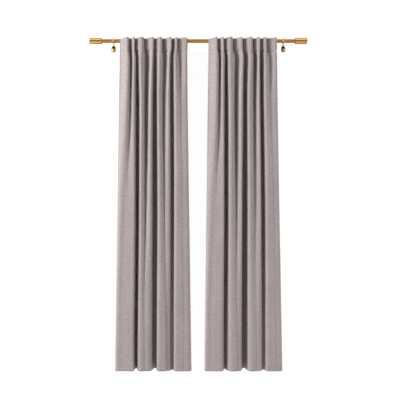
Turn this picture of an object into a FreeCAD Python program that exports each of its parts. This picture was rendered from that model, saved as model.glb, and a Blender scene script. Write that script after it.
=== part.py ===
import FreeCAD, Part
import math
import os

# A pair of back-tab curtains on a tubular rod, held off the wall by two brackets.
# Millimetres. +Z up, the curtains' front faces -Y, the wall is the plane Y = 0.
# The origin is the centre of the four wall-screw holes.

os.makedirs("parts", exist_ok=True)

# ---- rod ----
ROD_D = 28.0              # outside diameter of both visible lengths
ROD_WALL = 1.2
ROD_LENGTH = 1486.0       # end to end, inside the finials
ROD_UP = 46.0             # rod axis above the wall-screw centre
ROD_OUT = 65.0            # rod axis in front of the wall
SEAM_X = 330.0            # where the two lengths meet, behind the right curtain
SEAM_GAP = 0.5
TELESCOPE_FIT = 0.05      # radial clearance of the joiner in the left length
JOINER_IN_LEFT = 300.0
JOINER_IN_RIGHT = 100.0

# ---- finials ----
FINIAL_D = 46.0
FINIAL_LENGTH = 88.0
FINIAL_WALL = 2.0
FINIAL_CHAMFER = 0.8
FINIAL_GRIP = 30.0        # length of rod inside the finial
COLLAR_RECESS = 1.5
END_DISC_T = 3.0
FINIAL_FIT = 0.05         # radial clearance of the collar on the rod

# ---- brackets ----
BRACKET_SPAN = 1253.0     # centre to centre
PLATE_WIDTH = 18.0
PLATE_HEIGHT = 38.0
PLATE_T = 4.0
SCREW_SPACING = 24.0
SCREW_HOLE_D = 4.5
SINK_D = 9.0
ARM_D = 10.0
ARM_GRIP = 9.0            # length of arm inside the dome
ARM_FIT = 0.05            # radial clearance of the arm in its socket
NECK_D = 10.0
FLARE_D = 23.0
FLARE_TOP = 26.0          # each of these is a depth below the rod axis
FLARE_BOTTOM = 42.5
DOME_D = 29.0
DOME_BOTTOM = 59.0
BARREL_D = 29.6
BARREL_BOTTOM = 79.5
BARREL_WALL = 2.0
BARREL_RECESS = 6.0
RING_D = 38.0
RING_WIDTH = 14.0
LINER_T = 1.0
LINER_FIT = 0.05          # radial clearance of the liner on the rod

# ---- small screws ----
GRUB_D = 4.0
GRUB_FIT = 0.05
GRUB_OFF_ROD = 0.4
HEX_ACROSS = 2.0
HEX_DEPTH = 2.0

# ---- curtains ----
DROP = 2438.0             # top edge to hem
ABOVE_ROD = 4.0           # top edge above the rod
CLOTH_T = 1.5
GATHERS = 8               # across the header; they pair up towards the hem
TOP_HALF_GAP = 77.0       # centre line to each curtain's inner edge, at the header
HEM_HALF_GAP = 47.0       # the same at the hem
TOP_WIDTH = 500.0
HEM_WIDTH = 568.0
OFF_ROD = 3.0             # back of the cloth to the rod at the header
HEADER_DEPTH = 45.0       # front to back of a header gather
HEM_FRONT = 78.0          # front of a hem fold ahead of the rod axis
HEM_BACK = 15.0           # back of a hem fold behind the rod axis
# places across the cloth, as shares of its width
TAB_PLACES = (0.13, 0.265, 0.397, 0.547, 0.682, 0.80, 0.885, 0.97)
HEM_VALLEYS = (0.26, 0.515, 0.74)
POINTS_PER_GATHER = 12
TAB_WIDTH = 24.0
TAB_T = 1.2
TAB_OFF_ROD = 0.35
TAB_DROP = 84.0           # lower end of a tab below the rod axis

ROD_R = ROD_D / 2
FINIAL_R = FINIAL_D / 2
RING_R = RING_D / 2
RING_BORE_R = ROD_R + LINER_FIT + LINER_T
FINIAL_INNER_X = ROD_LENGTH / 2 - FINIAL_GRIP
FINIAL_OUTER_X = FINIAL_INNER_X + FINIAL_LENGTH
COLLAR_R = FINIAL_R - FINIAL_WALL
AXIS_Y = -ROD_OUT
AXIS_Z = ROD_UP
X_AXIS = FreeCAD.Vector(1, 0, 0)
Y_AXIS = FreeCAD.Vector(0, 1, 0)


def rod_bar(radius, x0, x1):
    """A solid bar on the rod's axis from x0 to x1."""
    start = FreeCAD.Vector(min(x0, x1), AXIS_Y, AXIS_Z)
    return Part.makeCylinder(radius, abs(x1 - x0), start, X_AXIS)


def rod_tube(outer, inner, x0, x1):
    """A tube on the rod's axis from x0 to x1."""
    return rod_bar(outer, x0, x1).cut(rod_bar(inner, x0, x1))


def turned(x, outline):
    """A solid of revolution about the vertical through the rod axis at x.

    The outline is a list of (radius, depth below the rod axis), top to bottom.
    """
    points = [FreeCAD.Vector(x + r, AXIS_Y, AXIS_Z - d) for r, d in outline]
    top = FreeCAD.Vector(x, AXIS_Y, AXIS_Z - outline[0][1])
    foot = FreeCAD.Vector(x, AXIS_Y, AXIS_Z - outline[-1][1])
    loop = [top] + points + [foot, top]
    clean = [loop[0]]
    for point in loop[1:]:
        if point.distanceToPoint(clean[-1]) > 1e-6:
            clean.append(point)
    face = Part.Face(Part.makePolygon(clean))
    return face.revolve(top, FreeCAD.Vector(0, 0, 1), 360)


def grub_screw(x, r_tip, r_head):
    """A headless screw square to the rod, on the wall side, with a hexagon socket."""
    length = r_head - r_tip
    body = Part.makeCylinder(GRUB_D / 2, length, FreeCAD.Vector(x, AXIS_Y + r_tip, AXIS_Z), Y_AXIS)
    corner_r = HEX_ACROSS / math.sqrt(3)
    mouth = AXIS_Y + r_head
    corners = []
    for k in range(7):
        turn = math.radians(60 * k)
        across = corner_r * math.cos(turn)
        up = corner_r * math.sin(turn)
        corners.append(FreeCAD.Vector(x + across, mouth - HEX_DEPTH, AXIS_Z + up))
    socket = Part.Face(Part.makePolygon(corners)).extrude(FreeCAD.Vector(0, HEX_DEPTH + 1, 0))
    return body.cut(socket)


def grub_hole(x):
    """The hole for a grub screw, from the rod's axis out to the wall side."""
    start = FreeCAD.Vector(x, AXIS_Y + ROD_R / 2, AXIS_Z)
    return Part.makeCylinder(GRUB_D / 2 + GRUB_FIT, FINIAL_R * 2, start, Y_AXIS)


def save(name, shape):
    """Write one node."""
    shape.exportStep("parts/" + name + ".step")


# ---- rod ----
END_X = ROD_LENGTH / 2
TUBE_BORE_R = ROD_R - ROD_WALL
JOINER_R = TUBE_BORE_R - TELESCOPE_FIT
save("rod_tube_left", rod_tube(ROD_R, TUBE_BORE_R, -END_X, SEAM_X))
save("rod_tube_right", rod_tube(ROD_R, TUBE_BORE_R, SEAM_X + SEAM_GAP, END_X))
joiner_ends = (SEAM_X - JOINER_IN_LEFT, SEAM_X + JOINER_IN_RIGHT)
save("rod_joiner", rod_tube(JOINER_R, JOINER_R - ROD_WALL, *joiner_ends))


# ---- finials ----
def finial(side, name):
    """One finial: a thin sleeve, its end disc, the collar that grips the rod, and its screw."""
    inner = side * FINIAL_INNER_X
    outer = side * FINIAL_OUTER_X
    screw_x = inner + side * (COLLAR_RECESS + FINIAL_GRIP / 2)
    collar_end = side * (END_X + 2)
    sleeve = rod_bar(FINIAL_R, inner, outer)
    rims = [e for e in sleeve.Edges if abs(e.BoundBox.XLength) < 1e-3 and e.BoundBox.YLength > 1]
    sleeve = sleeve.makeChamfer(FINIAL_CHAMFER, rims)
    sleeve = sleeve.cut(rod_bar(COLLAR_R, inner - side, outer + side))
    collar = rod_tube(COLLAR_R, ROD_R + FINIAL_FIT, inner + side * COLLAR_RECESS, collar_end)
    hole = grub_hole(screw_x)
    save("finial_sleeve_" + name, sleeve.cut(hole))
    save("finial_disc_" + name, rod_bar(COLLAR_R, outer - side * END_DISC_T, outer))
    save("finial_collar_" + name, collar.cut(hole))
    save("finial_screw_" + name, grub_screw(screw_x, ROD_R + GRUB_OFF_ROD, FINIAL_R - 0.5))


# ---- brackets ----
def dome_outline():
    """The dark collar of the pillar: a quarter round from the flare out to the barrel."""
    top_r = NECK_D / 2
    outline = [(top_r, FLARE_BOTTOM)]
    steps = 8
    for k in range(1, steps + 1):
        turn = math.pi / 2 * k / steps
        r = top_r + (DOME_D / 2 - top_r) * math.sin(turn)
        d = DOME_BOTTOM - (DOME_BOTTOM - FLARE_BOTTOM) * math.cos(turn)
        outline.append((r, d))
    return outline


def bracket(side, name):
    """One bracket: plate, arm, turned pillar in three pieces, ring, liner and lock screw."""
    x = side * BRACKET_SPAN / 2
    half_w = PLATE_WIDTH / 2
    flat = PLATE_HEIGHT - PLATE_WIDTH
    corner = FreeCAD.Vector(x - half_w, -PLATE_T, -flat / 2)
    plate = Part.makeBox(PLATE_WIDTH, PLATE_T, flat, corner)
    for end in (-1, 1):
        centre = FreeCAD.Vector(x, -PLATE_T, end * flat / 2)
        plate = plate.fuse(Part.makeCylinder(half_w, PLATE_T, centre, Y_AXIS))
    plate = plate.removeSplitter()
    sink = (SINK_D - SCREW_HOLE_D) / 2
    for end in (-1, 1):
        centre = FreeCAD.Vector(x, -PLATE_T, end * SCREW_SPACING / 2)
        plate = plate.cut(Part.makeCylinder(SCREW_HOLE_D / 2, PLATE_T, centre, Y_AXIS))
        plate = plate.cut(Part.makeCone(SINK_D / 2, SCREW_HOLE_D / 2, sink, centre, Y_AXIS))
    save("wall_plate_" + name, plate)

    arm_end_y = AXIS_Y + ARM_GRIP - DOME_D / 4
    arm_from = FreeCAD.Vector(x, arm_end_y, 0)
    arm = Part.makeCylinder(ARM_D / 2, -PLATE_T - arm_end_y, arm_from, Y_AXIS)
    save("arm_" + name, arm)

    arm_socket = Part.makeCylinder(ARM_D / 2 + ARM_FIT, ROD_OUT, arm_from, Y_AXIS)
    dome = turned(x, dome_outline())
    save("pillar_dome_" + name, dome.cut(arm_socket))

    barrel_r = BARREL_D / 2
    barrel = turned(x, [(barrel_r - 0.6, DOME_BOTTOM), (barrel_r, DOME_BOTTOM + 0.6),
                        (barrel_r, BARREL_BOTTOM - 0.8), (barrel_r - 0.8, BARREL_BOTTOM)])
    hollow_from = FreeCAD.Vector(x, AXIS_Y, AXIS_Z - BARREL_BOTTOM)
    barrel = barrel.cut(Part.makeCylinder(barrel_r - BARREL_WALL, BARREL_RECESS, hollow_from))
    save("pillar_barrel_" + name, barrel)

    neck_r = NECK_D / 2
    stem = turned(x, [(neck_r, ROD_R), (neck_r, FLARE_TOP), (neck_r + 1.6, FLARE_TOP + 6.5),
                      (FLARE_D / 2 - 0.6, FLARE_BOTTOM - 1.6), (FLARE_D / 2, FLARE_BOTTOM - 0.8),
                      (FLARE_D / 2, FLARE_BOTTOM)])
    stem = stem.cut(rod_bar(RING_R, x - RING_WIDTH, x + RING_WIDTH)).cut(arm_socket)
    save("pillar_stem_" + name, stem)

    ends = (x - RING_WIDTH / 2, x + RING_WIDTH / 2)
    ring = rod_bar(RING_R, *ends)
    rims = [e for e in ring.Edges if abs(e.BoundBox.XLength) < 1e-3 and e.BoundBox.YLength > 1]
    ring = ring.makeFillet(1.2, rims).cut(rod_bar(RING_BORE_R, ends[0] - 1, ends[1] + 1))
    liner = rod_tube(RING_BORE_R, ROD_R + LINER_FIT, *ends)
    hole = grub_hole(x)
    save("ring_" + name, ring.cut(hole))
    save("ring_liner_" + name, liner.cut(hole))
    save("ring_screw_" + name, grub_screw(x, ROD_R + GRUB_OFF_ROD, RING_R + 1.0))


# ---- curtains ----
def between(value, knots):
    """The share of the width at a phase, on straight lines through (phase, share) knots."""
    for (p0, s0), (p1, s1) in zip(knots, knots[1:]):
        if value <= p1 or p1 == knots[-1][0]:
            return s0 + (s1 - s0) * (value - p0) / (p1 - p0)


def header_point(phase):
    """(share of width, y) of the cloth's front at the header; a tab is at each whole phase."""
    knots = [(0.0, 0.0)]
    knots += [(k + 1.0, place) for k, place in enumerate(TAB_PLACES)]
    knots += [(GATHERS + 0.25, 1.0)]
    crest = (1 - math.cos(2 * math.pi * phase)) / 2
    y = AXIS_Y - ROD_R - OFF_ROD - CLOTH_T - HEADER_DEPTH * crest
    return between(phase, knots), y


def hem_point(phase):
    """The same at the hem, where the cloth falls back at every second phase only."""
    knots = [(0.0, 0.0)]
    knots += [(2.0 * k + 2.0, place) for k, place in enumerate(HEM_VALLEYS)]
    knots += [(GATHERS + 0.25, 1.0)]
    crest = (1 - math.cos(math.pi * phase)) / 2
    y = AXIS_Y + HEM_BACK - (HEM_FRONT + HEM_BACK) * crest ** 0.75
    return between(phase, knots), y


def cloth_wire(x0, width, point_at, z):
    """The closed outline of the cloth at one height: along its front, then back behind it."""
    count = GATHERS * POINTS_PER_GATHER
    front = []
    for k in range(count + 1):
        share, y = point_at((GATHERS + 0.25) * k / count)
        front.append(FreeCAD.Vector(x0 + width * share, y, z))
    back = []
    for k in range(count + 1):
        before = front[max(k - 1, 0)]
        after = front[min(k + 1, count)]
        along = after - before
        normal = FreeCAD.Vector(-along.y, along.x, 0)
        normal.normalize()
        back.append(front[k] + normal * CLOTH_T)
    return Part.makePolygon(front + back[::-1] + front[:1])


def tab_side(r, front_y, foot):
    """Half of a tab's outline: over the rod, round its back and down to its foot."""
    reach = math.hypot(foot[0], foot[1])
    leave = math.atan2(foot[1], foot[0]) + math.acos(r / reach)
    middle = (math.pi / 2 + leave) / 2
    return [(front_y, r), (0.0, r), (r * math.cos(middle), r * math.sin(middle)),
            (r * math.cos(leave), r * math.sin(leave)), foot]


def tab(x):
    """One back tab: a strap behind the rod, sewn to the header above and below it."""
    inner_r = ROD_R + TAB_OFF_ROD
    front_y = -(ROD_R + OFF_ROD)
    inner = tab_side(inner_r, front_y, (front_y + 2.0, -TAB_DROP + 4))
    outer = tab_side(inner_r + TAB_T, front_y, (front_y + 2.0, -TAB_DROP))
    x0 = x - TAB_WIDTH / 2
    lanes = []
    for side in (inner, outer):
        lanes.append([FreeCAD.Vector(x0, AXIS_Y + y, AXIS_Z + z) for y, z in side])
    edges = []
    for p in lanes:
        edges.append(Part.makeLine(p[0], p[1]))
        edges.append(Part.Arc(p[1], p[2], p[3]).toShape())
        edges.append(Part.makeLine(p[3], p[4]))
    edges.append(Part.makeLine(lanes[0][4], lanes[1][4]))
    edges.append(Part.makeLine(lanes[0][0], lanes[1][0]))
    wire = Part.Wire(Part.__sortEdges__(edges))
    return Part.Face(wire).extrude(FreeCAD.Vector(TAB_WIDTH, 0, 0))


def curtain(name, top_x, hem_x):
    """One curtain from its left edges at the header and the hem, with its tabs."""
    top_z = AXIS_Z + ROD_R + ABOVE_ROD
    top = cloth_wire(top_x, TOP_WIDTH, header_point, top_z)
    hem = cloth_wire(hem_x, HEM_WIDTH, hem_point, top_z - DROP)
    save("curtain_" + name, Part.makeLoft([top, hem], True, True))
    for k, place in enumerate(TAB_PLACES):
        save("tab_%s_%d" % (name, k + 1), tab(top_x + TOP_WIDTH * place))


finial(-1, "left")
finial(1, "right")
bracket(-1, "left")
bracket(1, "right")
curtain("left", -TOP_HALF_GAP - TOP_WIDTH, -HEM_HALF_GAP - HEM_WIDTH)
curtain("right", TOP_HALF_GAP, HEM_HALF_GAP)
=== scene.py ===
"""A pair of back-tab curtains on a telescoping brass rod, dressed around its CAD frame."""

import logging
import math
from dataclasses import dataclass
from enum import Enum
from typing import ClassVar

import bmesh
import bpy
import numpy as np
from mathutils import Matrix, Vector, noise


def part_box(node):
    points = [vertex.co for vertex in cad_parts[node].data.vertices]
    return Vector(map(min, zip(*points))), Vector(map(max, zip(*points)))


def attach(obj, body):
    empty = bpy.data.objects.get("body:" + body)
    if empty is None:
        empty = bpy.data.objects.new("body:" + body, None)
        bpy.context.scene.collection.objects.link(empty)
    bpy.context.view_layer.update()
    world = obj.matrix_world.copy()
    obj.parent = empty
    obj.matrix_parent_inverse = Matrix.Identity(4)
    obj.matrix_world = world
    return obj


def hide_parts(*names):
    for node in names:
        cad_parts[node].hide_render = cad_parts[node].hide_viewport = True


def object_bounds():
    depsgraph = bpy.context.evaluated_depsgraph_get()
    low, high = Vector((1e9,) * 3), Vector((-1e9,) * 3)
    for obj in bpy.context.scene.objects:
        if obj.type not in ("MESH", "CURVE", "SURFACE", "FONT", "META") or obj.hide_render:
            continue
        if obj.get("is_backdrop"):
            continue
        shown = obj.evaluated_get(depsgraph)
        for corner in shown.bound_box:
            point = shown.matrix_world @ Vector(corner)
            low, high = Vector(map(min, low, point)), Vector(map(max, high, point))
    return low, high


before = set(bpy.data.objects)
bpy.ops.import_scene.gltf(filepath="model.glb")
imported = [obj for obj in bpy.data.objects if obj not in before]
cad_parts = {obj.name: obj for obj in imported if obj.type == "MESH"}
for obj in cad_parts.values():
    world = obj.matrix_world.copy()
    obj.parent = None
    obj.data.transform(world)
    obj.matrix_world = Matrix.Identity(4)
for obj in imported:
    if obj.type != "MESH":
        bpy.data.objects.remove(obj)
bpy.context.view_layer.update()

log = logging.getLogger("curtains")

Place = tuple[float, float, float]              # metres, or noise waves per metre, along X, Y and Z
Colour = tuple[float, float, float, float]      # linear red, green and blue, and an alpha of 1


class Side(Enum):
    """The two halves of the assembly, as the wall is faced."""

    LEFT = "left"
    RIGHT = "right"


class Sheen(Enum):
    """How the light runs over a metal: along brush lines, or evenly."""

    BRUSHED = "brushed"
    POLISHED = "polished"


# ---- finishes ----
class Recipe:
    """A material's node tree, with short ways to add and join nodes."""

    def __init__(self, name: str) -> None:
        """Start an empty recipe around one Principled shader.

        Args:
            name: the material's name.
        """
        self.material = bpy.data.materials.new(name)
        self.material.use_nodes = True
        self.nodes = self.material.node_tree.nodes
        self.links = self.material.node_tree.links
        self.shader = self.nodes["Principled BSDF"]

    def feed(self, socket: bpy.types.NodeSocket, value: object) -> None:
        """Link an output to a socket, or set the socket's own value.

        Args:
            socket: the input to feed.
            value: another node's output, or a plain value.
        """
        if isinstance(value, bpy.types.NodeSocket):
            self.links.new(value, socket)
        else:
            socket.default_value = value

    def add(self, kind: str, inputs: dict[str | int, object] | None = None,
            **settings: object) -> bpy.types.Node:
        """Add one node.

        Args:
            kind: the node's type, without its ShaderNode prefix.
            inputs: values or outputs for its input sockets, by name or index.
            **settings: its own properties.

        Returns:
            The new node.
        """
        node = self.nodes.new("ShaderNode" + kind)
        for name, value in settings.items():
            setattr(node, name, value)
        for key, value in (inputs or {}).items():
            self.feed(node.inputs[key], value)
        return node

    def math(self, operation: str, a: object, b: object = 0.0, c: object = 0.0) -> bpy.types.NodeSocket:
        """The result of one sum.

        Args:
            operation: the Math node's operation.
            a: the first term.
            b: the second term.
            c: the third term, where the operation has one.

        Returns:
            The node's output.
        """
        return self.add("Math", {0: a, 1: b, 2: c}, operation=operation).outputs[0]

    def noise(self, place: bpy.types.NodeSocket, stretch: Place, detail: float = 2.0,
              roughness: float = 0.5) -> bpy.types.NodeSocket:
        """Smooth noise, stretched along the axes.

        Args:
            place: the coordinates to read.
            stretch: waves per metre along each axis.
            detail: octaves.
            roughness: the finer octaves' share.

        Returns:
            A value about 0.5.
        """
        spread = self.add("Mapping", {"Vector": place, "Scale": stretch})
        field = self.add("TexNoise", {"Vector": spread.outputs[0], "Scale": 1.0, "Detail": detail,
                                      "Roughness": roughness})
        return field.outputs["Fac"]

    def ranged(self, value: bpy.types.NodeSocket, low: float, high: float, to_low: float,
               to_high: float) -> bpy.types.NodeSocket:
        """A value moved from one range to another, held at its ends.

        Args:
            value: what to move.
            low: the start of its range.
            high: the end of its range.
            to_low: what the start becomes.
            to_high: what the end becomes.

        Returns:
            The moved value.
        """
        node = self.add("MapRange", {0: value, 1: low, 2: high, 3: to_low, 4: to_high})
        return node.outputs[0]

    def mix(self, share: object, a: object, b: object, blend: str = "MIX") -> bpy.types.NodeSocket:
        """Two colours mixed.

        Args:
            share: how much of the second.
            a: the first colour.
            b: the second colour.
            blend: how they combine.

        Returns:
            The mixed colour.
        """
        node = self.add("Mix", data_type="RGBA", blend_type=blend)
        # The node has sockets for plain values and vectors as well: its colours are 6 and 7 in, 2 out.
        for index, value in ((0, share), (6, a), (7, b)):
            self.feed(node.inputs[index], value)
        return node.outputs[2]

    def shaded(self, colour: object, shade: bpy.types.NodeSocket) -> bpy.types.NodeSocket:
        """A colour made lighter or darker by a value about 1."""
        grey = self.add("CombineXYZ", {0: shade, 1: shade, 2: shade}).outputs[0]
        return self.mix(1.0, colour, grey, "MULTIPLY")

    def bump(self, height: bpy.types.NodeSocket, distance: float, strength: float = 1.0) -> None:
        """Raise the surface by a height of 0 to 1.

        Args:
            height: the height.
            distance: metres for a height of 1.
            strength: how much of it shows.
        """
        node = self.add("Bump", {"Height": height, "Distance": distance, "Strength": strength})
        self.feed(self.shader.inputs["Normal"], node.outputs[0])

    def set(self, **values: object) -> None:
        """Set the shader's sockets, named with underscores for spaces."""
        for name, value in values.items():
            self.feed(self.shader.inputs[name.replace("_", " ")], value)


def rgb(red: float, green: float, blue: float) -> Colour:
    """A linear colour as a socket takes it."""
    return (red, green, blue, 1.0)


@dataclass(frozen=True)
class WovenCloth:
    """A heavy plain weave of heathered yarn, with its machine stitching.

    The pattern follows the UV map: metres across the cloth, and metres down from its top.
    """

    name: str
    warp: Colour
    weft: Colour
    stitch_rows: tuple[float, ...] = ()
    stitch_columns: tuple[float, ...] = ()
    thread: Colour = (0.42, 0.37, 0.355, 1.0)
    thread_half: float = 0.0007                     # half the width of a row of stitches
    stitch: float = 0.0036                          # one stitch and the gap after it
    stitch_share: float = 0.74                      # how much of that is thread
    yarn: float = 0.0011                            # from one yarn to the next
    warp_slub: Place = (900.0, 22.0, 1.0)           # the waves of the thick places along each yarn
    weft_slub: Place = (24.0, 900.0, 1.0)
    warp_shades: tuple[float, float] = (0.86, 1.14)
    weft_shades: tuple[float, float] = (0.84, 1.16)
    heather: Place = (120.0, 90.0, 1.0)             # the waves of the mottled colour
    heather_shades: tuple[float, float] = (0.74, 1.26)
    cloud: Place = (7.0, 3.0, 1.0)                  # the waves of the broad, faint changes of shade
    cloud_shades: tuple[float, float] = (0.97, 1.03)
    weave_shade_range: tuple[float, float] = (0.8, 1.06)  # painted shade between the yarns and a faint painted highlight on top of them

    def material(self) -> bpy.types.Material:
        """The cloth's node material.

        Returns:
            The material.
        """
        r = Recipe(self.name)
        place = r.add("UVMap", uv_map="cloth").outputs[0]
        split = r.add("SeparateXYZ", {0: place})
        across, down = split.outputs[0], split.outputs[1]
        turn = math.pi / self.yarn
        ends = r.math("SINE", r.math("MULTIPLY", across, turn))
        picks = r.math("SINE", r.math("MULTIPLY", down, turn))
        over = r.math("MULTIPLY", ends, picks)
        crown = r.math("POWER", r.math("ABSOLUTE", over), 0.5)
        which = r.ranged(over, -0.35, 0.35, 0.0, 1.0)
        slub_down = r.noise(place, self.warp_slub, detail=1.0)
        slub_across = r.noise(place, self.weft_slub, detail=1.0)
        heather = r.noise(place, self.heather, detail=4.0, roughness=0.66)
        cloud = r.noise(place, self.cloud)
        warp = r.mix(r.ranged(slub_down, 0.3, 0.7, 0.0, 1.0), *self.scaled(self.warp, self.warp_shades))
        weft = r.mix(r.ranged(slub_across, 0.3, 0.7, 0.0, 1.0), *self.scaled(self.weft, self.weft_shades))
        yarn = r.mix(which, weft, warp)
        mottle = r.ranged(heather, 0.34, 0.66, *self.heather_shades)
        tint = r.ranged(cloud, 0.35, 0.65, *self.cloud_shades)
        # painted shade in the gaps between the yarns, a little lighter on their crowns
        weave_shade = r.ranged(crown, 0.0, 0.8, *self.weave_shade_range)
        # random tone from the mottle and tint, times the painted shade of the weave
        shade = r.math("MULTIPLY", r.math("MULTIPLY", mottle, tint), weave_shade)
        colour = r.shaded(yarn, shade)
        height = r.math("ADD", r.math("MULTIPLY", crown, 0.7), r.math("MULTIPLY", heather, 0.5))
        rows = [(line, down, across) for line in self.stitch_rows]
        columns = [(line, across, down) for line in self.stitch_columns]
        for line, off_line, along in rows + columns:
            seam = self.dash(r, off_line, line, along)
            colour = r.mix(seam, colour, self.thread)
            height = r.math("ADD", height, r.math("MULTIPLY", seam, 0.8))
        r.set(Base_Color=colour, Roughness=0.88, Sheen_Weight=0.22, Sheen_Roughness=0.55,
              Specular_IOR_Level=0.22)
        r.set(Sheen_Tint=rgb(0.9, 0.86, 0.85))
        r.bump(height, distance=0.00045, strength=0.75)
        return r.material

    def dash(self, r: Recipe, off_line: bpy.types.NodeSocket, line: float,
             along: bpy.types.NodeSocket) -> bpy.types.NodeSocket:
        """One row of stitches as a mask.

        Args:
            r: the recipe to add to.
            off_line: the coordinate square to the row.
            line: where the row runs on it.
            along: the coordinate along the row.

        Returns:
            1 on the thread and 0 off it.
        """
        near = r.math("COMPARE", off_line, line, self.thread_half)
        cycle = r.math("FRACT", r.math("DIVIDE", along, self.stitch))
        return r.math("MULTIPLY", near, r.math("LESS_THAN", cycle, self.stitch_share))

    @staticmethod
    def scaled(colour: Colour, shades: tuple[float, ...]) -> list[Colour]:
        """A colour in several lighter or darker shades."""
        return [rgb(*(part * shade for part in colour[:3])) for shade in shades]


@dataclass(frozen=True)
class Brass:
    """Lacquered brass, brushed along the rod or polished."""

    name: str
    colour: Colour
    roughness: float
    sheen: Sheen = Sheen.BRUSHED

    GRAIN: ClassVar[dict[Sheen, Place]] = {
        Sheen.BRUSHED: (9.0, 2600.0, 2600.0),
        Sheen.POLISHED: (240.0, 240.0, 240.0),
    }

    def material(self) -> bpy.types.Material:
        """The brass's node material.

        Returns:
            The material.
        """
        r = Recipe(self.name)
        place = r.add("TexCoord").outputs["Object"]
        lines = r.noise(place, self.GRAIN[self.sheen], detail=3.0, roughness=0.6)
        tarnish = r.noise(place, (11.0, 30.0, 30.0), detail=3.0)
        tone = r.ranged(tarnish, 0.3, 0.7, 0.93, 1.05)
        streak = r.ranged(lines, 0.3, 0.7, 0.96, 1.04)
        colour = r.shaded(self.colour, r.math("MULTIPLY", tone, streak))
        rough = r.ranged(lines, 0.25, 0.75, self.roughness - 0.05, self.roughness + 0.06)
        r.set(Base_Color=colour, Metallic=1.0, Roughness=rough)
        r.bump(lines, distance=0.00004, strength=0.35)
        return r.material


@dataclass(frozen=True)
class Steel:
    """Bare or blackened steel of screws and the hidden inner tube."""

    name: str
    colour: Colour
    roughness: float

    def material(self) -> bpy.types.Material:
        """The steel's node material.

        Returns:
            The material.
        """
        r = Recipe(self.name)
        place = r.add("TexCoord").outputs["Object"]
        grain = r.noise(place, (60.0, 900.0, 900.0), detail=3.0)
        tone = r.ranged(grain, 0.3, 0.7, 0.85, 1.1)
        r.set(Base_Color=r.shaded(self.colour, tone), Metallic=1.0)
        r.set(Roughness=r.ranged(grain, 0.3, 0.7, self.roughness - 0.06, self.roughness + 0.08))
        r.bump(grain, distance=0.00003, strength=0.3)
        return r.material


@dataclass(frozen=True)
class Plastic:
    """Moulded plastic with a fine spark-eroded texture."""

    name: str
    colour: Colour
    roughness: float

    def material(self) -> bpy.types.Material:
        """The plastic's node material.

        Returns:
            The material.
        """
        r = Recipe(self.name)
        place = r.add("TexCoord").outputs["Object"]
        grain = r.noise(place, (1400.0, 1400.0, 1400.0))
        flow = r.noise(place, (60.0, 60.0, 60.0))
        tone = r.ranged(flow, 0.3, 0.7, 0.93, 1.06)
        r.set(Base_Color=r.shaded(self.colour, tone))
        r.set(Roughness=r.ranged(grain, 0.3, 0.7, self.roughness - 0.05, self.roughness + 0.08))
        r.bump(grain, distance=0.00003, strength=0.4)
        return r.material


# ---- cloth shape ----
LEVELS = (0.07, 0.15, 0.52, 1.20, 2.40)     # drops at which each fold's shape is given
Run = tuple[float, float, float, float, float]


def eased(drop: np.ndarray, levels: tuple[float, ...], values: tuple[float, ...]) -> np.ndarray:
    """A smooth run of values through given levels, level past both ends.

    Args:
        drop: where to read it.
        levels: where the values are given.
        values: the values.

    Returns:
        The value at each drop.
    """
    at, value = np.array(levels), np.array(values, float)
    rise = np.diff(value) / np.diff(at)
    turning = rise[:-1] * rise[1:] <= 0
    steady = 2 * rise[:-1] * rise[1:] / np.where(turning, 1.0, rise[:-1] + rise[1:])
    slope = np.concatenate([[0.0], np.where(turning, 0.0, steady), [0.0]])
    d = np.clip(drop, at[0], at[-1])
    k = np.clip(np.searchsorted(at, d, side="right") - 1, 0, len(at) - 2)
    span = at[k + 1] - at[k]
    t = (d - at[k]) / span
    start = value[k] * (2 * t**3 - 3 * t**2 + 1) + span * slope[k] * (t**3 - 2 * t**2 + t)
    return start + value[k + 1] * (3 * t**2 - 2 * t**3) + span * slope[k + 1] * (t**3 - t**2)


def bell(at: np.ndarray, centre: float, width: float) -> np.ndarray:
    """A smooth hump: 1 at its centre, falling to 0 on both sides."""
    return np.exp(-(((at - centre) / width) ** 2))


def fading(drop: np.ndarray | float, end: float, over: float) -> np.ndarray:
    """1 near the top edge, falling evenly to 0 at a given drop."""
    return np.clip((end - drop) / over, 0.0, 1.0)


@dataclass(frozen=True)
class Ripple:
    """One kind of small unevenness in the cloth, drawn by smooth noise on its UVs."""

    height: float
    across: float       # waves per metre across the cloth
    down: float         # and down it
    offset: float       # keeps one kind apart from the next

    def heights(self, uv: np.ndarray, seed: float) -> np.ndarray:
        """The height at each point of a grid.

        Args:
            uv: rows by columns by 2, in metres.
            seed: the panel's own.

        Returns:
            The heights, rows by columns.
        """
        grid = np.zeros(uv.shape[:2])
        for place in np.ndindex(*grid.shape):
            u, v = uv[place]
            grid[place] = noise.noise(Vector((u * self.across, v * self.down, seed + self.offset)))
        return self.height * grid


@dataclass(frozen=True)
class Fold:
    """One fold and the valley on its right, at each of LEVELS, in metres.

    The crest is the share of the way from one valley to the next at which the fold stands
    furthest forward, and behind is how far its front stays back from the foremost folds.
    """

    crest: Run
    behind: Run
    valley: Run
    depth: Run
    floor: Run


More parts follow.
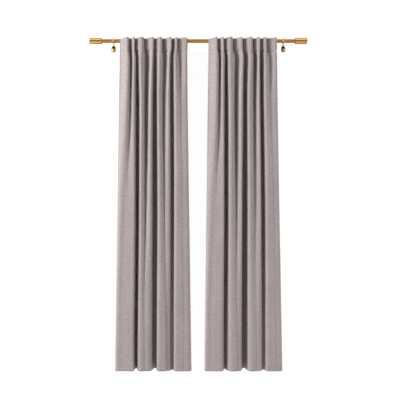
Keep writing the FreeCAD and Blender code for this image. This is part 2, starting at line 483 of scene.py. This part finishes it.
@dataclass(frozen=True)
class Drape:
    """The hanging shape of one curtain: its edges and its folds, from left to right."""

    top_edges: tuple[float, float]
    hem_edges: tuple[float, float]
    folds: tuple[Fold, ...]
    seed: float

    last_crest: Run = (0.80, 0.80, 0.70, 0.60, 0.50)        # the fold at the right edge has no valley
    last_behind: Run = (0.012, 0.010, 0.008, 0.006, 0.004)
    flat_width: float = 1.067
    across_folds: float = 1.05                              # cloth across them, a little less than flat
    give: tuple[float, float] = (0.85, 1.12)                # how far folds are scaled to take that cloth
    give_steps: int = 18
    stitch_drop: float = 0.102
    hem: float = 0.060
    foremost: Run = (-0.058, -0.063, -0.069, -0.074, -0.076)    # the front folds, from the rod's axis
    roundness: Run = (2.0, 2.0, 2.0, 2.2, 2.6)              # 2 is a round fold, more is a flatter one
    lean: Run = (0.14, 0.05, 0.0, 0.0, 0.0)                 # tip to the right, for each metre of depth
    crease: Run = (0.014, 0.0, 0.0, 0.0, 0.0)               # the narrow tucks between the gathers
    crease_width: float = 0.0032
    edge_depth: tuple[float, float] = (0.040, 0.030)
    softness: float = 0.0028                                # how far the folds' sharp turns are eased
    kept_back: tuple[float, float] = (0.22, 0.10)           # where holding off the rod ends, its fading

    samples: int = 2600                                     # points across a row while it is worked out
    columns: int = 420                                      # columns of the mesh
    sharing_drop: float = 0.8                               # the row whose folds share the columns out
    sharing_spread: float = 0.01                            # its edges, outside the top edge's
    row_stops: tuple[float, float] = (0.12, 0.5)            # the ends of the heading and the shoulder
    above_hem: float = 0.02                                 # where the closer rows of the hem start
    row_counts: tuple[int, int, int, int] = (25, 23, 50, 10)

    soft: Ripple = Ripple(height=0.0012, across=9.0, down=1.0, offset=0.0)
    fine: Ripple = Ripple(height=0.0004, across=38.0, down=4.0, offset=7.0)
    gather: Ripple = Ripple(height=0.0012, across=150.0, down=12.0, offset=13.0)
    tuck: Ripple = Ripple(height=0.0016, across=75.0, down=5.0, offset=23.0)
    top_edge: Ripple = Ripple(height=0.0012, across=30.0, down=0.0, offset=19.0)
    tucked: tuple[float, float] = (0.13, 0.05)              # where the tucks end, and their fading
    puckered: float = 0.022                                 # how far the gathers reach from the stitching
    heading_seam: tuple[float, float] = (0.0042, 0.007)     # how deep the stitching pulls in, how wide
    hem_seam: tuple[float, float] = (0.0008, 0.006)
    peak: float = 0.006                                     # how far gathers stand up at the top edge
    peak_reach: float = 0.02                                # and how far down that fades

    def rows(self, length: float) -> np.ndarray:
        """The drops of the mesh's rows, closer together at the heading.

        Args:
            length: from the top edge to the hem.

        Returns:
            The drops, from 0 to the length.
        """
        stops = [0.0, *self.row_stops, length - self.hem - self.above_hem, length]
        runs = [np.linspace(a, b, count) for a, b, count in zip(stops, stops[1:], self.row_counts)]
        return np.concatenate([runs[0], *(run[1:] for run in runs[1:])])

    def valleys(self, drop: float, left: float, right: float) -> list[float]:
        """The places of the valleys across one row, with its two edges.

        Args:
            drop: the row's drop.
            left: its left edge.
            right: its right edge.

        Returns:
            The places, from left to right.
        """
        inner = (float(eased(np.array([drop]), LEVELS, fold.valley)[0]) for fold in self.folds)
        return [left, *inner, right]

    def profile(self, drop: float, x: np.ndarray) -> np.ndarray:
        """How far behind the foremost folds the cloth lies across one row.

        Args:
            drop: the row's drop.
            x: the places across it.

        Returns:
            The depth at each place.
        """
        def at(run: Run) -> float:
            """One run's value at this row."""
            return float(eased(np.array([drop]), LEVELS, run)[0])

        valleys = self.valleys(drop, x[0], x[-1])
        depths = [self.edge_depth[0], *(at(f.depth) for f in self.folds), self.edge_depth[1]]
        floors = [0.0, *(at(f.floor) for f in self.folds), 0.0]
        crests = [*(at(f.crest) for f in self.folds), at(self.last_crest)]
        behinds = [*(at(f.behind) for f in self.folds), at(self.last_behind)]
        power = at(self.roundness)
        depth = np.zeros_like(x)
        for k, (crest, behind) in enumerate(zip(crests, behinds)):
            here = (x >= valleys[k]) & (x <= valleys[k + 1])
            start, end = valleys[k] + floors[k], valleys[k + 1] - floors[k + 1]
            to_crest = math.log(0.5) / math.log(crest)      # the power that puts the crest half-way
            way = np.clip((x[here] - start) / (end - start), 0.0, 1.0) ** to_crest
            arch = (1.0 - np.abs(2 * way - 1) ** power) ** (1 / power)
            blend = way * way * (3 - 2 * way)
            base = depths[k] * (1 - blend) + depths[k + 1] * blend
            depth[here] = base * (1 - arch) + behind * arch
        for valley in valleys[1:-1]:
            depth += at(self.crease) * bell(x, valley, self.crease_width)
        reach = int(3 * self.softness / (x[1] - x[0]))
        kernel = np.exp(-0.5 * (np.arange(-reach, reach + 1) * 3 / reach) ** 2)
        return np.convolve(np.pad(depth, reach, mode="edge"), kernel / kernel.sum(), mode="valid")

    def front(self, length: float, axis_y: float, top_z: float) -> tuple[np.ndarray, np.ndarray]:
        """The cloth's front face as a grid of points.

        Args:
            length: from the top edge to the hem.
            axis_y: the rod's axis.
            top_z: the height of the top edge.

        Returns:
            The points, rows by columns by 3, and their UVs, rows by columns by 2.
        """
        drops = self.rows(length)
        fronts = axis_y + eased(drops, LEVELS, self.foremost)
        leans = eased(drops, LEVELS, self.lean)
        left, right = self.top_edges
        widths = np.diff(self.valleys(self.sharing_drop, left - self.sharing_spread,
                                      right + self.sharing_spread))
        counts = np.rint(self.columns * widths / widths.sum()).astype(int)
        points = np.zeros((len(drops), counts.sum() + 1, 3))
        uv = np.zeros((len(drops), counts.sum() + 1, 2))
        for k, (drop, front, lean) in enumerate(zip(drops, fronts, leans)):
            share = drop / length
            left, right = (top + (hem - top) * share for top, hem in zip(self.top_edges, self.hem_edges))
            x = np.linspace(left, right, self.samples)
            depth = self.profile(drop, x)
            low, high = self.give
            for _ in range(self.give_steps):
                middle = (low + high) / 2
                taken = np.hypot(np.diff(x), middle * np.diff(depth)).sum()
                low, high = (middle, high) if taken < self.across_folds else (low, middle)
            deepest = depth.max()
            kept_back = float(fading(drop, *self.kept_back))
            y = front + low * depth - kept_back * (low - 1.0) * deepest
            leant = x + lean * (deepest - depth)
            run = np.concatenate([[0.0], np.cumsum(np.hypot(np.diff(leant), np.diff(y)))])
            marks = np.interp(self.valleys(drop, left, right), x, run)
            spans = [np.linspace(a, b, n, endpoint=False) for a, b, n in zip(marks, marks[1:], counts)]
            along = np.concatenate([*spans, marks[-1:]])
            points[k, :, 0] = np.interp(along, run, leant)
            points[k, :, 1] = np.interp(along, run, y)
            uv[k, :, 0] = self.flat_width * along / run[-1]
            uv[k, :, 1] = drop
        points[:, :, 2] = top_z - drops[:, None]
        return self.creased(points, uv, length), uv

    def creased(self, points: np.ndarray, uv: np.ndarray, length: float) -> np.ndarray:
        """The same face with its stitch lines drawn in and its small creases.

        Args:
            points: the smooth face.
            uv: its UVs.
            length: from the top edge to the hem.

        Returns:
            The creased face.
        """
        drop = uv[:, :, 1]
        gathered = self.gather.heights(uv, self.seed) * bell(drop, self.stitch_drop, self.puckered)
        tucked = self.tuck.heights(uv, self.seed) * fading(drop, *self.tucked)
        pull, width = self.heading_seam
        heading_seam = pull * bell(drop, self.stitch_drop, width)
        pull, width = self.hem_seam
        hem_seam = pull * bell(drop, length - self.hem, width)
        lift = (self.soft.heights(uv, self.seed) + self.fine.heights(uv, self.seed) + gathered + tucked
                - heading_seam - hem_seam)
        creased = points + normals(points) * lift[:, :, None]
        forward = points[:1, :, 1].max() - points[:1, :, 1]
        rise = self.top_edge.heights(uv, self.seed) + self.peak * forward / forward.max() - self.peak
        creased[:, :, 2] += rise * np.exp(-drop / self.peak_reach)
        return creased


def normals(points: np.ndarray) -> np.ndarray:
    """Unit normals of a grid of points, towards -Y where the grid runs along +X and down.

    Args:
        points: rows by columns by 3.

    Returns:
        The normals, the same shape.
    """
    down = np.gradient(points, axis=0)
    across = np.gradient(points, axis=1)
    out = np.cross(down, across)
    return out / np.linalg.norm(out, axis=2, keepdims=True)


def cloth_object(name: str, points: np.ndarray, uv: np.ndarray, thickness: float,
                 material: bpy.types.Material) -> bpy.types.Object:
    """A piece of cloth from a grid of points on its front face.

    Args:
        name: the piece's name.
        points: rows by columns by 3, on the front face.
        uv: rows by columns by 2, in metres.
        thickness: the cloth's.
        material: its finish.

    Returns:
        The new object.
    """
    rows, columns = points.shape[:2]
    bm = bmesh.new()
    # The grid starts as a unit square about the origin, where a corner's place gives its row and column.
    bmesh.ops.create_grid(bm, x_segments=columns - 1, y_segments=rows - 1, size=0.5)
    layer = bm.loops.layers.uv.new("cloth")
    place = {}
    for vert in bm.verts:
        column = round((vert.co.x + 0.5) * (columns - 1))
        row = round((0.5 - vert.co.y) * (rows - 1))
        place[vert.index] = (row, column)
        vert.co = points[row, column]
    for face in bm.faces:
        face.smooth = True
        for loop in face.loops:
            loop[layer].uv = uv[place[loop.vert.index]]
    bm.normal_update()
    if sum(face.normal.y for face in bm.faces) > 0:
        bmesh.ops.reverse_faces(bm, faces=bm.faces)
    made = finished(name, bm, material)
    solid = made.modifiers.new("thickness", "SOLIDIFY")
    solid.thickness = thickness
    solid.offset = -1.0
    return made


def finished(name: str, bm: bmesh.types.BMesh, material: bpy.types.Material) -> bpy.types.Object:
    """Turn a bmesh into an object with one finish.

    Args:
        name: the piece's name.
        bm: its mesh, which is freed.
        material: its finish.

    Returns:
        The new object, at the origin.
    """
    mesh = bpy.data.meshes.new(name)
    bm.to_mesh(mesh)
    bm.free()
    mesh.materials.append(material)
    made = bpy.data.objects.new(name, mesh)
    bpy.context.scene.collection.objects.link(made)
    return made


# ---- sub-assemblies ----
@dataclass
class Curtain:
    """One curtain panel: the cloth, its turned heading and hems, and its back tabs."""

    side: Side
    drape: Drape
    cloth: bpy.types.Material
    tab_cloth: bpy.types.Material
    thickness: float = 0.0012
    ply_gap: float = 0.00015
    turned_share: float = 0.7           # a turned layer's thickness, to the panel's
    turned_past: float = 0.004          # how far a turning reaches past its stitching
    side_hem: float = 0.026
    side_seam: float = 0.024
    tab_width: float = 0.024
    tab_seams: tuple[float, float] = (0.002, 0.022)
    tab_thickness: float = 0.0011
    tab_off_rod: float = 0.00035
    tab_below_top: float = 0.0025
    tab_count: int = 8
    tab_stations: int = 40
    tab_columns: int = 9
    tab_arc: int = 24                   # points round the rod before the stations are spaced

    @property
    def body(self) -> str:
        """The CAD body that the panel slides with."""
        return "curtain_" + self.side.value

    def build(self) -> None:
        """Make every piece of the panel."""
        low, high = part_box(self.body)
        rod_low, rod_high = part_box("rod_tube_left")
        self.axis_y = (rod_low.y + rod_high.y) / 2
        self.axis_z = (rod_low.z + rod_high.z) / 2
        self.rod_r = (rod_high.z - rod_low.z) / 2
        self.top_z = high.z
        self.length = high.z - low.z
        self.points, self.uv = self.drape.front(self.length, self.axis_y, self.top_z)
        panel = cloth_object("panel_" + self.side.value, self.points, self.uv, self.thickness, self.cloth)
        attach(panel, self.body)
        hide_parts(self.body)
        plies = self.turnings()
        log.info("%s: %d rows by %d columns", panel.name, *self.points.shape[:2])
        for number in range(1, self.tab_count + 1):
            self.tab(number)

    def turnings(self) -> list[bpy.types.Object]:
        """The cloth turned to the back at the heading, the hem and both sides.

        Returns:
            The turnings.
        """
        drop = self.uv[:, 0, 1]
        across = self.uv[0, :, 0]
        whole = slice(0, len(across))
        stitching, hem_top = self.drape.stitch_drop, self.length - self.drape.hem
        bands = {
            "heading_turning": (0, drop <= stitching + self.turned_past, whole),
            "hem_turning": (0, drop >= hem_top - self.turned_past, whole),
            "side_hem_inner": (1, drop >= 0, across <= self.side_hem),
            "side_hem_outer": (1, drop >= 0, across >= across[-1] - self.side_hem),
        }
        out = normals(self.points)
        back = self.points - out * (self.thickness + self.ply_gap)
        turned = self.thickness * self.turned_share
        made = []
        for name, (layers_before, rows, columns) in bands.items():
            face = back - out * layers_before * (turned + self.ply_gap)
            ply = cloth_object(f"{name}_{self.side.value}", face[rows][:, columns], self.uv[rows][:, columns],
                               turned, self.cloth)
            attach(ply, self.body)
            made.append(ply)
        return made

    def tab_path(self, back_y: float) -> np.ndarray:
        """A tab's middle line in the Y-Z plane: over the back of the rod, down to the stitching.

        Args:
            back_y: the back of the curtain where the tab is sewn on.

        Returns:
            Points along it, evenly spaced.
        """
        radius = self.rod_r + self.tab_off_rod + self.tab_thickness / 2
        centre = np.array([self.axis_y, self.axis_z])
        top = np.array([back_y, self.top_z - self.tab_below_top])
        foot = np.array([back_y, self.top_z - self.drape.stitch_drop])
        angles = []
        for point, way in ((top, -1), (foot, 1)):
            away = point - centre
            reach = max(np.linalg.norm(away), radius * 1.0001)      # never inside the circle
            angles.append(math.atan2(away[1], away[0]) + way * math.acos(radius / reach))
        start, end = angles
        while end > start:
            end -= 2 * math.pi
        arc = np.linspace(start, end, self.tab_arc)
        around = centre + radius * np.stack([np.cos(arc), np.sin(arc)], axis=1)
        line = np.vstack([top, around, foot])
        run = np.concatenate([[0.0], np.cumsum(np.linalg.norm(np.diff(line, axis=0), axis=1))])
        even = np.linspace(0.0, run[-1], self.tab_stations)
        return np.stack([np.interp(even, run, line[:, 0]), np.interp(even, run, line[:, 1])], axis=1)

    def tab(self, number: int) -> None:
        """One back tab, in place of its CAD node.

        Args:
            number: the tab's number, counted from the left.
        """
        node = f"tab_{self.side.value}_{number}"
        low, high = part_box(node)
        centre = (low.x + high.x) / 2
        heading = self.points[self.uv[:, 0, 1] <= self.drape.stitch_drop]
        near = np.abs(heading[:, :, 0] - centre) < self.tab_width / 2
        cloth_y = heading[:, :, 1][near].max()
        back_y = cloth_y + 2 * self.thickness + 2 * self.ply_gap
        path = self.tab_path(back_y)
        across = np.linspace(-0.5, 0.5, self.tab_columns)
        points = np.zeros((len(path), self.tab_columns, 3))
        points[:, :, 0] = centre + self.tab_width * across
        points[:, :, 1] = path[:, :1]
        points[:, :, 2] = path[:, 1:]
        length = np.linalg.norm(np.diff(path, axis=0), axis=1).sum()
        uv = np.zeros((len(path), self.tab_columns, 2))
        uv[:, :, 0] = (across + 0.5) * self.tab_width
        uv[:, :, 1] = np.linspace(0.0, length, len(path))[:, None]
        strap = cloth_object(f"back_tab_{self.side.value}_{number}", points, uv, self.tab_thickness,
                             self.tab_cloth)
        strap.modifiers["thickness"].offset = 0.0
        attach(strap, self.body)
        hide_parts(node)


@dataclass
class Hardware:
    """The rod, its finials, brackets and rings: CAD pieces, each given its finish."""

    finishes: dict[str, bpy.types.Material]

    PIECES: ClassVar[dict[str, tuple[str, ...]]] = {
        "rod": ("rod_tube_left", "rod_tube_right"),
        "inner_tube": ("rod_joiner",),
        "finial": ("finial_sleeve", "finial_disc"),
        "collar": ("finial_collar",),
        "screw": ("finial_screw", "ring_screw"),
        "bracket": ("wall_plate", "arm"),
        "pillar": ("pillar_barrel",),
        # the pillar's dome gets a near-black brass: painted shade and painted dark reflection, not the
        # metal's own colour
        "painted_shade": ("pillar_dome",),
        "pale": ("pillar_stem", "ring"),
        "liner": ("ring_liner",),
    }

    def build(self) -> None:
        """Give each CAD piece its finish."""
        for finish, stems in self.PIECES.items():
            for stem in stems:
                names = [stem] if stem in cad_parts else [f"{stem}_{side.value}" for side in Side]
                for name in names:
                    self.dress(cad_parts[name], self.finishes[finish])
                log.info("%s: %s", stem, finish)

    @staticmethod
    def dress(piece: bpy.types.Object, material: bpy.types.Material) -> None:
        """Put one finish on a CAD piece."""
        for slot in piece.material_slots:
            slot.material = material


@dataclass(frozen=True)
class Lamp:
    """A square soft light."""

    name: str
    place: Place
    target: Place
    side: float
    power: float

    def build(self) -> None:
        """Stand the lamp in its place, pointed at its target."""
        lamp = bpy.data.lights.new(self.name, "AREA")
        lamp.shape = "RECTANGLE"
        lamp.size = lamp.size_y = self.side
        lamp.energy = self.power
        made = bpy.data.objects.new(self.name, lamp)
        made.location = self.place
        way = Vector(self.target) - Vector(self.place)
        made.rotation_euler = way.to_track_quat("-Z", "Y").to_euler()
        bpy.context.scene.collection.objects.link(made)


@dataclass
class Studio:
    """The camera, the wall, the floor and the soft lights."""

    camera_distance: float = 5.3
    camera_below_rod: float = 1.173
    camera_aside: float = 0.0118
    field_width: float = 2.951
    sensor: float = 36.0                # millimetres
    floor_below_hem: float = 0.27
    floor_half: float = 9.0
    wall_half: float = 6.0
    wall_above_floor: float = 5.9       # the wall's middle
    wall_behind: float = 0.0015         # the gap behind the wall plates
    wall_glow: float = 0.93
    wall_mirrored: float = 0.4          # the share of that glow which metal mirrors
    wall_albedo: float = 0.16
    ambient: float = 0.09
    # Heights and what metal mirrors there: straight down is 0 and straight up is 1.
    mirrored: tuple[tuple[float, float], ...] = (
        (0.0, 0.6), (0.12, 0.65), (0.36, 0.24), (0.52, 0.24), (0.66, 0.42), (0.80, 1.2), (0.92, 2.0),
        (0.97, 1.6), (1.0, 0.8))
    # A key well to the left and high, and a weaker fill well to the right.
    lamps: tuple[Lamp, ...] = (
        Lamp("key", place=(-6.0, -2.8, 2.5), target=(0.0, -0.1, -0.6), side=2.2, power=755.0),
        Lamp("fill", place=(5.2, -3.0, 0.2), target=(0.0, -0.1, -1.2), side=2.6, power=165.0))

    def build(self) -> None:
        """Make everything round the object."""
        low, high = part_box("rod_tube_left")
        self.axis = Vector((0.0, (low.y + high.y) / 2, (low.z + high.z) / 2))
        self.floor_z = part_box("curtain_left")[0].z - self.floor_below_hem
        self.camera()
        self.backdrop()
        self.world()
        for lamp in self.lamps:
            lamp.build()
        bpy.context.scene.view_settings.view_transform = "Standard"

    def camera(self) -> None:
        """A level camera square to the wall, below the rod."""
        lens = bpy.data.cameras.new("camera")
        lens.sensor_width = self.sensor
        lens.lens = self.sensor * self.camera_distance / self.field_width
        lens.clip_end = 60.0
        made = bpy.data.objects.new("camera", lens)
        made.location = self.axis + Vector((self.camera_aside, -self.camera_distance, -self.camera_below_rod))
        made.rotation_euler = (math.pi / 2, 0.0, 0.0)
        bpy.context.scene.collection.objects.link(made)
        bpy.context.scene.camera = made

    def plane(self, name: str, material: bpy.types.Material, half: float) -> bpy.types.Object:
        """A square stage plane facing +Z.

        Args:
            name: its name.
            material: its finish.
            half: half its side.

        Returns:
            The plane.
        """
        bm = bmesh.new()
        bmesh.ops.create_grid(bm, x_segments=1, y_segments=1, size=half)
        made = finished(name, bm, material)
        made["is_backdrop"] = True
        return made

    def backdrop(self) -> None:
        """The wall behind the curtains, clear from its back, and the floor below them."""
        paint = Recipe("wall_paint")
        paint.set(Base_Color=rgb(*[self.wall_albedo] * 3), Roughness=1.0, Specular_IOR_Level=0.0,
                  Emission_Color=rgb(1.0, 1.0, 1.0))
        glossy = paint.add("LightPath").outputs["Is Glossy Ray"]
        glow = paint.ranged(glossy, 0.0, 1.0, self.wall_glow, self.wall_glow * self.wall_mirrored)
        paint.set(Emission_Strength=glow)
        clear = paint.add("BsdfTransparent").outputs[0]
        facing = paint.add("NewGeometry").outputs["Backfacing"]
        both = paint.add("MixShader", {0: facing, 1: paint.shader.outputs[0], 2: clear})
        paint.feed(paint.nodes["Material Output"].inputs[0], both.outputs[0])
        wall = self.plane("wall", paint.material, self.wall_half)
        wall.rotation_euler = (math.pi / 2, 0.0, 0.0)
        wall.location = (0.0, self.wall_behind, self.floor_z + self.wall_above_floor)
        board = Recipe("floor_paint")
        board.set(Base_Color=rgb(0.82, 0.815, 0.81), Roughness=0.9, Specular_IOR_Level=0.1)
        floor = self.plane("floor", board.material, self.floor_half)
        floor.location = (0.0, 0.0, self.floor_z)

    def world(self) -> None:
        """A pale room: white to the eye, with a darker horizon for the metal to mirror."""
        world = bpy.data.worlds.new("room")
        world.use_nodes = True
        bpy.context.scene.world = world
        nodes, links = world.node_tree.nodes, world.node_tree.links
        base = nodes["Background"]
        seen = nodes.new("ShaderNodeBackground")
        seen.inputs[0].default_value = rgb(1.0, 1.0, 1.0)
        seen.inputs[1].default_value = 1.0
        place = nodes.new("ShaderNodeTexCoord")
        split = nodes.new("ShaderNodeSeparateXYZ")
        ramp = nodes.new("ShaderNodeValToRGB")
        lift = nodes.new("ShaderNodeMapRange")
        lift.inputs[1].default_value, lift.inputs[2].default_value = -1.0, 1.0
        links.new(place.outputs["Generated"], split.inputs[0])
        links.new(split.outputs[2], lift.inputs[0])
        links.new(lift.outputs[0], ramp.inputs[0])
        while len(ramp.color_ramp.elements) < len(self.mirrored):
            ramp.color_ramp.elements.new(0.5)
        for element, (height, level) in zip(ramp.color_ramp.elements, self.mirrored):
            element.position = height
            element.color = rgb(level, level, level * 1.01)
        links.new(ramp.outputs[0], base.inputs[0])
        base.inputs[1].default_value = 1.0
        soft = nodes.new("ShaderNodeBackground")
        soft.inputs[0].default_value = rgb(1.0, 0.985, 0.98)
        soft.inputs[1].default_value = self.ambient
        path = nodes.new("ShaderNodeLightPath")
        lit = nodes.new("ShaderNodeMixShader")
        links.new(path.outputs["Is Glossy Ray"], lit.inputs[0])
        links.new(soft.outputs[0], lit.inputs[1])
        links.new(base.outputs[0], lit.inputs[2])
        both = nodes.new("ShaderNodeMixShader")
        links.new(path.outputs["Is Camera Ray"], both.inputs[0])
        links.new(lit.outputs[0], both.inputs[1])
        links.new(seen.outputs[0], both.inputs[2])
        links.new(both.outputs[0], nodes["World Output"].inputs[0])


# ---- the two curtains' folds ----
LEFT_FOLDS = (
    Fold(crest=(0.80, 0.80, 0.76, 0.60, 0.50), behind=(0.0, 0.0, 0.0, 0.012, 0.006),
         valley=(-0.507, -0.495, -0.500, -0.522, -0.551), depth=(0.030, 0.042, 0.027, 0.010, 0.0065),
         floor=(0.002, 0.004, 0.002, 0.002, 0.002)),
    Fold(crest=(0.78, 0.55, 0.66, 0.80, 0.80), behind=(0.0, 0.0, 0.0, 0.0, 0.0),
         valley=(-0.464, -0.450, -0.449, -0.449, -0.460), depth=(0.030, 0.055, 0.075, 0.088, 0.092),
         floor=(0.002, 0.005, 0.007, 0.008, 0.006)),
    Fold(crest=(0.70, 0.42, 0.55, 0.50, 0.60), behind=(0.0, 0.0, 0.0, 0.0, 0.0),
         valley=(-0.398, -0.387, -0.387, -0.390, -0.398), depth=(0.028, 0.050, 0.055, 0.032, 0.002),
         floor=(0.002, 0.002, 0.003, 0.001, 0.001)),
    Fold(crest=(0.82, 0.80, 0.72, 0.70, 0.40), behind=(0.0, 0.0, 0.0, 0.0, 0.006),
         valley=(-0.324, -0.321, -0.320, -0.320, -0.321), depth=(0.030, 0.060, 0.080, 0.090, 0.092),
         floor=(0.002, 0.007, 0.011, 0.013, 0.012)),
    Fold(crest=(0.74, 0.52, 0.45, 0.50, 0.45), behind=(0.0, 0.0, 0.0, 0.0, 0.0),
         valley=(-0.264, -0.255, -0.259, -0.251, -0.237), depth=(0.030, 0.045, 0.040, 0.022, 0.004),
         floor=(0.002, 0.002, 0.001, 0.001, 0.001)),
    Fold(crest=(0.82, 0.80, 0.76, 0.65, 0.30), behind=(0.0, 0.0, 0.0, 0.004, 0.014),
         valley=(-0.193, -0.198, -0.195, -0.191, -0.191), depth=(0.030, 0.055, 0.065, 0.062, 0.046),
         floor=(0.003, 0.006, 0.009, 0.009, 0.010)),
    Fold(crest=(0.74, 0.52, 0.45, 0.45, 0.45), behind=(0.004, 0.004, 0.002, 0.0, 0.0),
         valley=(-0.153, -0.149, -0.127, -0.120, -0.113), depth=(0.024, 0.030, 0.012, 0.005, 0.002),
         floor=(0.002, 0.002, 0.001, 0.001, 0.001)),
)
RIGHT_FOLDS = (
    Fold(crest=(0.80, 0.78, 0.80, 0.65, 0.50), behind=(0.0, 0.0, 0.0, 0.010, 0.006),
         valley=(0.143, 0.154, 0.149, 0.129, 0.092), depth=(0.030, 0.045, 0.030, 0.010, 0.0065),
         floor=(0.002, 0.003, 0.002, 0.002, 0.002)),
    Fold(crest=(0.76, 0.55, 0.70, 0.80, 0.70), behind=(0.0, 0.0, 0.0, 0.0, 0.0),
         valley=(0.189, 0.202, 0.202, 0.202, 0.194), depth=(0.030, 0.060, 0.075, 0.080, 0.072),
         floor=(0.002, 0.006, 0.008, 0.009, 0.007)),
    Fold(crest=(0.66, 0.38, 0.50, 0.48, 0.60), behind=(0.0, 0.0, 0.0, 0.0, 0.0),
         valley=(0.253, 0.271, 0.271, 0.273, 0.282), depth=(0.028, 0.045, 0.052, 0.028, 0.002),
         floor=(0.002, 0.002, 0.003, 0.001, 0.001)),
    Fold(crest=(0.82, 0.80, 0.72, 0.75, 0.35), behind=(0.0, 0.0, 0.0, 0.0, 0.006),
         valley=(0.326, 0.341, 0.341, 0.338, 0.335), depth=(0.030, 0.055, 0.075, 0.092, 0.092),
         floor=(0.002, 0.008, 0.010, 0.013, 0.013)),
    Fold(crest=(0.76, 0.60, 0.44, 0.50, 0.60), behind=(0.0, 0.0, 0.0, 0.0, 0.0),
         valley=(0.399, 0.410, 0.408, 0.406, 0.421), depth=(0.030, 0.055, 0.045, 0.022, 0.003),
         floor=(0.002, 0.004, 0.002, 0.001, 0.001)),
    Fold(crest=(0.80, 0.70, 0.72, 0.80, 0.35), behind=(0.0, 0.0, 0.0, 0.0, 0.006),
         valley=(0.454, 0.459, 0.464, 0.471, 0.477), depth=(0.030, 0.055, 0.070, 0.066, 0.048),
         floor=(0.002, 0.006, 0.008, 0.009, 0.010)),
    Fold(crest=(0.74, 0.55, 0.45, 0.45, 0.45), behind=(0.004, 0.004, 0.0, 0.0, 0.0),
         valley=(0.502, 0.512, 0.527, 0.549, 0.560), depth=(0.024, 0.030, 0.012, 0.005, 0.002),
         floor=(0.002, 0.002, 0.001, 0.001, 0.001)),
)


def main() -> None:
    """Build the studio and the object, in order."""
    logging.basicConfig(level=logging.INFO, format="%(name)s: %(message)s")
    Studio().build()
    warp, weft = rgb(0.352, 0.300, 0.296), rgb(0.342, 0.296, 0.293)
    low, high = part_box("curtain_left")
    hem_stitching = high.z - low.z - Drape.hem
    cloth = WovenCloth("curtain_weave", warp, weft, stitch_rows=(Drape.stitch_drop, hem_stitching),
                       stitch_columns=(Curtain.side_seam, Drape.flat_width - Curtain.side_seam)).material()
    tab_cloth = WovenCloth("tab_weave", warp, weft, stitch_columns=Curtain.tab_seams).material()
    finishes = {
        "rod": Brass("rod_brass", rgb(0.47, 0.215, 0.045), 0.34).material(),
        "inner_tube": Steel("zinc_steel", rgb(0.55, 0.56, 0.57), 0.35).material(),
        "finial": Brass("finial_brass", rgb(0.64, 0.37, 0.12), 0.20).material(),
        "collar": Plastic("black_collar", rgb(0.03, 0.03, 0.03), 0.45).material(),
        "screw": Steel("black_steel", rgb(0.07, 0.065, 0.06), 0.40).material(),
        "bracket": Brass("bracket_brass", rgb(0.66, 0.42, 0.16), 0.30).material(),
        "pillar": Brass("pillar_brass", rgb(0.50, 0.29, 0.10), 0.62, Sheen.POLISHED).material(),
        # near-black painted shade and painted dark reflection for the pillar's dome
        "painted_shade": Brass("dark_brass", rgb(0.030, 0.013, 0.004), 0.55, Sheen.POLISHED).material(),
        "pale": Brass("pale_brass", rgb(0.56, 0.38, 0.16), 0.50, Sheen.POLISHED).material(),
        "liner": Plastic("clear_liner", rgb(0.55, 0.50, 0.42), 0.35).material(),
    }
    Hardware(finishes).build()
    drapes = {
        Side.LEFT: Drape(top_edges=(-0.577, -0.085), hem_edges=(-0.611, -0.050), folds=LEFT_FOLDS, seed=3.0),
        Side.RIGHT: Drape(top_edges=(0.0745, 0.572), hem_edges=(0.0435, 0.614), folds=RIGHT_FOLDS, seed=41.0),
    }
    for side, drape in drapes.items():
        Curtain(side, drape, cloth, tab_cloth).build()
    low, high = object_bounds()


if __name__ == "__main__":
    main()
